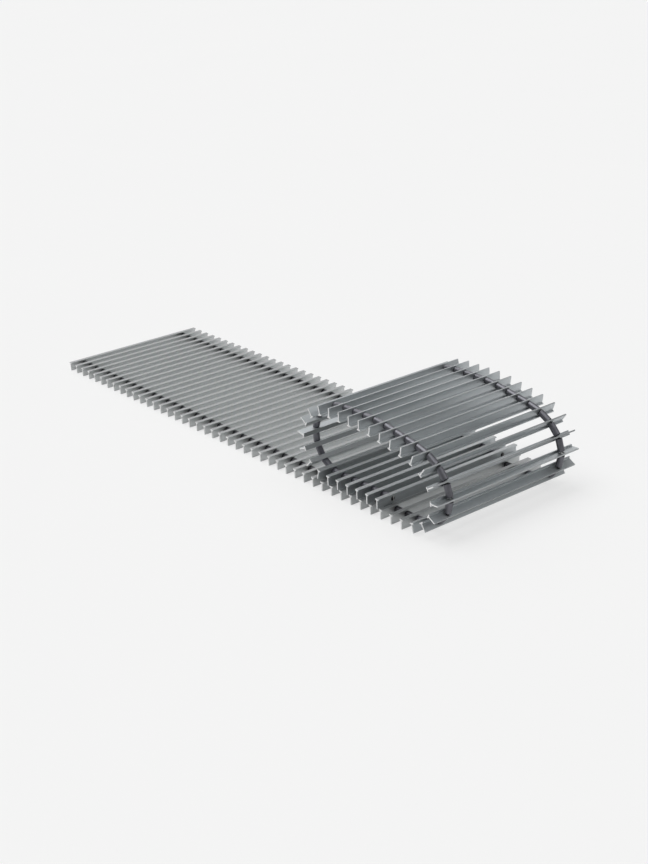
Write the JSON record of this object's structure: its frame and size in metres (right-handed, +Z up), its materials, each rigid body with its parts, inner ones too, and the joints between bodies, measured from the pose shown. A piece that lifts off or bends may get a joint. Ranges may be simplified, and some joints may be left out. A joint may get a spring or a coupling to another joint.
{
  "type": "floor convector grille",
  "caption": "Roll-up floor grille of T-section aluminium slats strung on springs with tubular spacers, its free end rolled back over the flat run.",
  "frame": {"origin": "centre of the bounding box's base, on the surface that the flat run's slats stand on", "axes": "+X along the grille from its plain end to the roll, +Y along the slats, +Z up"},
  "size_m": [0.6836, 0.19, 0.0947],
  "materials": {
    "slat_aluminium": "satin natural anodised, with fine lines along the extrusion",
    "spacer_tube": "smooth dark grey anodised tube",
    "spring_steel": "bright drawn wire"
  },
  "bodies": {
    "flat_run": {"flat_run": "slat_aluminium", "spring_end_first_near": "spring_steel", "spring_end_first_far": "spring_steel"},
    "spacers_42": {"spacer_42_near": "spacer_tube", "spacer_42_far": "spacer_tube"},
    "rising_slat_43": {"rising_slat_43": "slat_aluminium"},
    "spacers_43": {"spacer_43_near": "spacer_tube", "spacer_43_far": "spacer_tube"},
    "rising_slat_44": {"rising_slat_44": "slat_aluminium"},
    "spacers_44": {"spacer_44_near": "spacer_tube", "spacer_44_far": "spacer_tube"},
    "rising_slat_45": {"rising_slat_45": "slat_aluminium"},
    "spacers_45": {"spacer_45_near": "spacer_tube", "spacer_45_far": "spacer_tube"},
    "rising_slat_46": {"rising_slat_46": "slat_aluminium"},
    "spacers_46": {"spacer_46_near": "spacer_tube", "spacer_46_far": "spacer_tube"},
    "rising_slat_47": {"rising_slat_47": "slat_aluminium"},
    "spacers_47": {"spacer_47_near": "spacer_tube", "spacer_47_far": "spacer_tube"},
    "rising_slat_48": {"rising_slat_48": "slat_aluminium"},
    "spacers_48": {"spacer_48_near": "spacer_tube", "spacer_48_far": "spacer_tube"},
    "rising_slat_49": {"rising_slat_49": "slat_aluminium"},
    "spacers_49": {"spacer_49_near": "spacer_tube", "spacer_49_far": "spacer_tube"},
    "crown_run_a": {"crown_run_a": "slat_aluminium"},
    "spacers_53": {"spacer_53_near": "spacer_tube", "spacer_53_far": "spacer_tube"},
    "crown_run_b": {"crown_run_b": "slat_aluminium"},
    "spacers_57": {"spacer_57_near": "spacer_tube", "spacer_57_far": "spacer_tube"},
    "falling_slat_58": {"falling_slat_58": "slat_aluminium"},
    "spacers_58": {"spacer_58_near": "spacer_tube", "spacer_58_far": "spacer_tube"},
    "falling_slat_59": {"falling_slat_59": "slat_aluminium"},
    "spacers_59": {"spacer_59_near": "spacer_tube", "spacer_59_far": "spacer_tube"},
    "falling_slat_60": {"falling_slat_60": "slat_aluminium"},
    "spacers_60": {"spacer_60_near": "spacer_tube", "spacer_60_far": "spacer_tube"},
    "falling_slat_61": {"falling_slat_61": "slat_aluminium"},
    "spacers_61": {"spacer_61_near": "spacer_tube", "spacer_61_far": "spacer_tube"},
    "falling_slat_62": {"falling_slat_62": "slat_aluminium"},
    "spacers_62": {"spacer_62_near": "spacer_tube", "spacer_62_far": "spacer_tube"},
    "falling_slat_63": {"falling_slat_63": "slat_aluminium"},
    "spacers_63": {"spacer_63_near": "spacer_tube", "spacer_63_far": "spacer_tube"},
    "falling_slat_64": {"falling_slat_64": "slat_aluminium"},
    "spacers_64": {"spacer_64_near": "spacer_tube", "spacer_64_far": "spacer_tube"},
    "inner_run": {"inner_run": "slat_aluminium", "spring_end_last_near": "spring_steel", "spring_end_last_far": "spring_steel"}
  },
  "joints": [
    {"name": "rock_42_rear", "type": "hinge", "parent": "flat_run", "child": "spacers_42", "pos_m": [0.29149, 0, 0.0082], "axis": [0, 1, 0], "range_deg": [0, 6]},
    {"name": "rock_42_front", "type": "hinge", "parent": "spacers_42", "child": "rising_slat_43", "pos_m": [0.30492, 0, 0.00961], "axis": [0, 1, 0], "range_deg": [0, 6]},
    {"name": "rock_43_rear", "type": "hinge", "parent": "rising_slat_43", "child": "spacers_43", "pos_m": [0.30638, 0, 0.00992], "axis": [0, 1, 0], "range_deg": [0, 10]},
    {"name": "rock_43_front", "type": "hinge", "parent": "spacers_43", "child": "rising_slat_44", "pos_m": [0.3189, 0, 0.01498], "axis": [0, 1, 0], "range_deg": [0, 10]},
    {"name": "rock_44_rear", "type": "hinge", "parent": "rising_slat_44", "child": "spacers_44", "pos_m": [0.32017, 0, 0.01577], "axis": [0, 1, 0], "range_deg": [0, 14]},
    {"name": "rock_44_front", "type": "hinge", "parent": "spacers_44", "child": "rising_slat_45", "pos_m": [0.32955, 0, 0.02548], "axis": [0, 1, 0], "range_deg": [0, 14]},
    {"name": "rock_45_rear", "type": "hinge", "parent": "rising_slat_45", "child": "spacers_45", "pos_m": [0.3303, 0, 0.02678], "axis": [0, 1, 0], "range_deg": [0, 16]},
    {"name": "rock_45_front", "type": "hinge", "parent": "spacers_45", "child": "rising_slat_46", "pos_m": [0.33357, 0, 0.03988], "axis": [0, 1, 0], "range_deg": [0, 16]},
    {"name": "rock_46_rear", "type": "hinge", "parent": "rising_slat_46", "child": "spacers_46", "pos_m": [0.33351, 0, 0.04138], "axis": [0, 1, 0], "range_deg": [0, 14.5]},
    {"name": "rock_46_front", "type": "hinge", "parent": "spacers_46", "child": "rising_slat_47", "pos_m": [0.32968, 0, 0.05433], "axis": [0, 1, 0], "range_deg": [0, 14.5]},
    {"name": "rock_47_rear", "type": "hinge", "parent": "rising_slat_47", "child": "spacers_47", "pos_m": [0.32891, 0, 0.05561], "axis": [0, 1, 0], "range_deg": [0, 11]},
    {"name": "rock_47_front", "type": "hinge", "parent": "spacers_47", "child": "rising_slat_48", "pos_m": [0.31987, 0, 0.06564], "axis": [0, 1, 0], "range_deg": [0, 11]},
    {"name": "rock_48_rear", "type": "hinge", "parent": "rising_slat_48", "child": "spacers_48", "pos_m": [0.31868, 0, 0.06655], "axis": [0, 1, 0], "range_deg": [0, 8]},
    {"name": "rock_48_front", "type": "hinge", "parent": "spacers_48", "child": "rising_slat_49", "pos_m": [0.30687, 0, 0.07309], "axis": [0, 1, 0], "range_deg": [0, 8]},
    {"name": "rock_49_rear", "type": "hinge", "parent": "rising_slat_49", "child": "spacers_49", "pos_m": [0.30547, 0, 0.07363], "axis": [0, 1, 0], "range_deg": [0, 5.51]},
    {"name": "rock_49_front", "type": "hinge", "parent": "spacers_49", "child": "crown_run_a", "pos_m": [0.29246, 0, 0.07723], "axis": [0, 1, 0], "range_deg": [0, 5.51]},
    {"name": "rock_53_rear", "type": "hinge", "parent": "crown_run_a", "child": "spacers_53", "pos_m": [0.24666, 0, 0.0853], "axis": [0, 1, 0], "range_deg": [0, 4.99]},
    {"name": "rock_53_front", "type": "hinge", "parent": "spacers_53", "child": "crown_run_b", "pos_m": [0.23321, 0, 0.08647], "axis": [0, 1, 0], "range_deg": [0, 4.99]},
    {"name": "rock_57_rear", "type": "hinge", "parent": "crown_run_b", "child": "spacers_57", "pos_m": [0.18671, 0, 0.08647], "axis": [0, 1, 0], "range_deg": [0, 6.5]},
    {"name": "rock_57_front", "type": "hinge", "parent": "spacers_57", "child": "falling_slat_58", "pos_m": [0.1733, 0, 0.08494], "axis": [0, 1, 0], "range_deg": [0, 6.5]},
    {"name": "rock_58_rear", "type": "hinge", "parent": "falling_slat_58", "child": "spacers_58", "pos_m": [0.17184, 0, 0.08461], "axis": [0, 1, 0], "range_deg": [0, 10.5]},
    {"name": "rock_58_front", "type": "hinge", "parent": "spacers_58", "child": "falling_slat_59", "pos_m": [0.15946, 0, 0.07922], "axis": [0, 1, 0], "range_deg": [0, 10.5]},
    {"name": "rock_59_rear", "type": "hinge", "parent": "falling_slat_59", "child": "spacers_59", "pos_m": [0.15822, 0, 0.07838], "axis": [0, 1, 0], "range_deg": [0, 12]},
    {"name": "rock_59_front", "type": "hinge", "parent": "spacers_59", "child": "falling_slat_60", "pos_m": [0.14884, 0, 0.06867], "axis": [0, 1, 0], "range_deg": [0, 12]},
    {"name": "rock_60_rear", "type": "hinge", "parent": "falling_slat_60", "child": "spacers_60", "pos_m": [0.14804, 0, 0.0674], "axis": [0, 1, 0], "range_deg": [0, 2.88]},
    {"name": "rock_60_front", "type": "hinge", "parent": "spacers_60", "child": "falling_slat_61", "pos_m": [0.14331, 0, 0.05476], "axis": [0, 1, 0], "range_deg": [0, 2.88]},
    {"name": "rock_61_rear", "type": "hinge", "parent": "falling_slat_61", "child": "spacers_61", "pos_m": [0.14308, 0, 0.05327], "axis": [0, 1, 0], "range_deg": [0, 3.5]},
    {"name": "rock_61_front", "type": "hinge", "parent": "spacers_61", "child": "falling_slat_62", "pos_m": [0.14426, 0, 0.03982], "axis": [0, 1, 0], "range_deg": [0, 3.5]},
    {"name": "rock_62_rear", "type": "hinge", "parent": "falling_slat_62", "child": "spacers_62", "pos_m": [0.14475, 0, 0.03841], "axis": [0, 1, 0], "range_deg": [0, 3.63]},
    {"name": "rock_62_front", "type": "hinge", "parent": "spacers_62", "child": "falling_slat_63", "pos_m": [0.1522, 0, 0.02715], "axis": [0, 1, 0], "range_deg": [0, 3.63]},
    {"name": "rock_63_rear", "type": "hinge", "parent": "falling_slat_63", "child": "spacers_63", "pos_m": [0.15331, 0, 0.02615], "axis": [0, 1, 0], "range_deg": [0, 3.5]},
    {"name": "rock_63_front", "type": "hinge", "parent": "spacers_63", "child": "falling_slat_64", "pos_m": [0.16523, 0, 0.01981], "axis": [0, 1, 0], "range_deg": [0, 3.5]},
    {"name": "rock_64_rear", "type": "hinge", "parent": "falling_slat_64", "child": "spacers_64", "pos_m": [0.16669, 0, 0.01945], "axis": [0, 1, 0], "range_deg": [0, 1.75]},
    {"name": "rock_64_front", "type": "hinge", "parent": "spacers_64", "child": "inner_run", "pos_m": [0.18009, 0, 0.0178], "axis": [0, 1, 0], "range_deg": [0, 1.75]}
  ],
  "couplings": [
    {"joint": "rock_42_rear", "follows": "rock_45_rear", "ratio": 0.375},
    {"joint": "rock_42_front", "follows": "rock_45_rear", "ratio": 0.375},
    {"joint": "rock_43_rear", "follows": "rock_45_rear", "ratio": 0.625},
    {"joint": "rock_43_front", "follows": "rock_45_rear", "ratio": 0.625},
    {"joint": "rock_44_rear", "follows": "rock_45_rear", "ratio": 0.875},
    {"joint": "rock_44_front", "follows": "rock_45_rear", "ratio": 0.875},
    {"joint": "rock_45_front", "follows": "rock_45_rear", "ratio": 1},
    {"joint": "rock_46_rear", "follows": "rock_45_rear", "ratio": 0.90625},
    {"joint": "rock_46_front", "follows": "rock_45_rear", "ratio": 0.90625},
    {"joint": "rock_47_rear", "follows": "rock_45_rear", "ratio": 0.6875},
    {"joint": "rock_47_front", "follows": "rock_45_rear", "ratio": 0.6875},
    {"joint": "rock_48_rear", "follows": "rock_45_rear", "ratio": 0.5},
    {"joint": "rock_48_front", "follows": "rock_45_rear", "ratio": 0.5},
    {"joint": "rock_49_rear", "follows": "rock_45_rear", "ratio": 0.34425},
    {"joint": "rock_49_front", "follows": "rock_45_rear", "ratio": 0.34425},
    {"joint": "rock_53_rear", "follows": "rock_45_rear", "ratio": 0.31199},
    {"joint": "rock_53_front", "follows": "rock_45_rear", "ratio": 0.31199},
    {"joint": "rock_57_rear", "follows": "rock_45_rear", "ratio": 0.40625},
    {"joint": "rock_57_front", "follows": "rock_45_rear", "ratio": 0.40625},
    {"joint": "rock_58_rear", "follows": "rock_45_rear", "ratio": 0.65625},
    {"joint": "rock_58_front", "follows": "rock_45_rear", "ratio": 0.65625},
    {"joint": "rock_59_rear", "follows": "rock_45_rear", "ratio": 0.75},
    {"joint": "rock_59_front", "follows": "rock_45_rear", "ratio": 0.75},
    {"joint": "rock_60_rear", "follows": "rock_45_rear", "ratio": 0.17968},
    {"joint": "rock_60_front", "follows": "rock_45_rear", "ratio": 0.17968},
    {"joint": "rock_61_rear", "follows": "rock_45_rear", "ratio": 0.21875},
    {"joint": "rock_61_front", "follows": "rock_45_rear", "ratio": 0.21875},
    {"joint": "rock_62_rear", "follows": "rock_45_rear", "ratio": 0.22656},
    {"joint": "rock_62_front", "follows": "rock_45_rear", "ratio": 0.22656},
    {"joint": "rock_63_rear", "follows": "rock_45_rear", "ratio": 0.21875},
    {"joint": "rock_63_front", "follows": "rock_45_rear", "ratio": 0.21875},
    {"joint": "rock_64_rear", "follows": "rock_45_rear", "ratio": 0.10937},
    {"joint": "rock_64_front", "follows": "rock_45_rear", "ratio": 0.10937}
  ]
}
